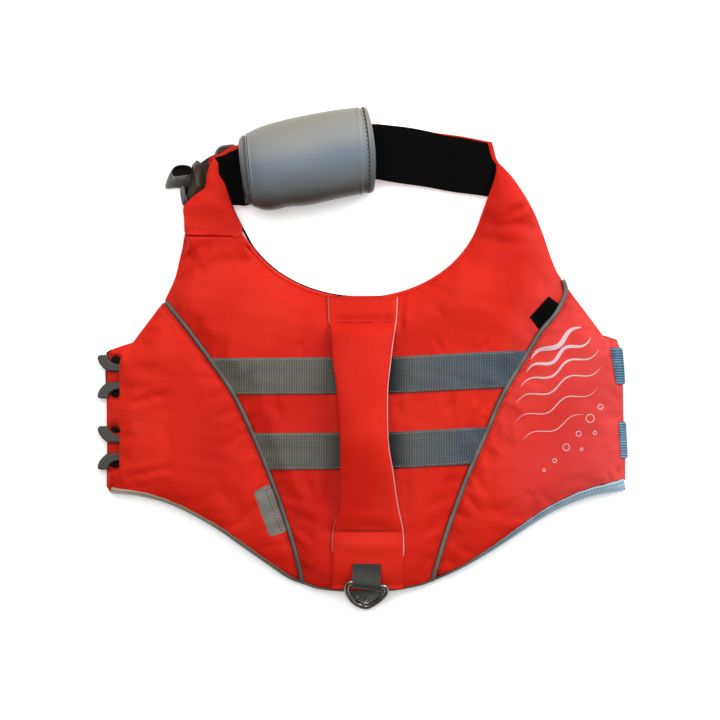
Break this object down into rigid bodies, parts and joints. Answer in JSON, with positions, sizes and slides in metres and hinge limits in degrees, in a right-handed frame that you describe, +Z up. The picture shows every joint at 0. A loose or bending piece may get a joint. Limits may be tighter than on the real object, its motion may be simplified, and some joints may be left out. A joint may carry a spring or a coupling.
{
  "type": "dog life jacket",
  "caption": "Dog life jacket laid flat, back up: padded red body with webbing bands, arched carry handle, hinged lead ring, neck strap with a float sleeve, and belly belts and buckles.",
  "frame": {"origin": "on the surface the jacket lies on, below the centre of its bounding box", "axes": "+X towards the jacket's right wing in this view (the side with the belts), +Y towards the neck, +Z up, away from the surface it lies on"},
  "size_m": [0.5558, 0.5234, 0.05],
  "materials": {
    "red_cloth": "matt woven oxford cloth, padded",
    "black_lining": "matt black neoprene-like cloth",
    "grey_webbing": "ribbed polyester webbing with a slight sheen",
    "grey_coated_cloth": "smooth coated reflective cloth",
    "grey_piping": "smooth piping tape",
    "silver_tape": "satin reflective binding tape",
    "grey_plastic": "moulded acetal, fine matt",
    "steel_wire": "nickel-plated welded wire"
  },
  "bodies": {
    "jacket": {"back_panel": "red_cloth", "wing_left": "red_cloth", "wing_right": "red_cloth", "shoulder_end_left": "red_cloth", "handle_front": "red_cloth", "handle_grip": "red_cloth", "handle_rear": "red_cloth", "neck_strap_shell": "red_cloth", "neck_strap_lining": "black_lining", "piping_tag": "black_lining", "band_upper": "grey_webbing", "band_lower": "grey_webbing", "neck_belt": "grey_webbing", "ring_tab": "grey_webbing", "side_belt_upper": "grey_webbing", "side_belt_lower": "grey_webbing", "chin_sleeve": "grey_coated_cloth", "side_patch": "grey_coated_cloth", "piping_left": "grey_piping", "piping_right": "grey_piping", "neckline_binding": "grey_piping", "hem_binding": "silver_tape", "belly_buckle_upper": "grey_plastic", "belly_buckle_lower": "grey_plastic", "neck_buckle": "grey_plastic", "belt_plug_upper": "grey_plastic", "belt_plug_lower": "grey_plastic"},
    "ring": {"d_ring": "steel_wire"}
  },
  "joints": [
    {"name": "d_ring_swing", "type": "hinge", "parent": "jacket", "child": "ring", "pos_m": [0.0034, -0.23355, 0.02239], "axis": [-0.9913, 0.1316, 0], "range_deg": [0, 195]}
  ]
}
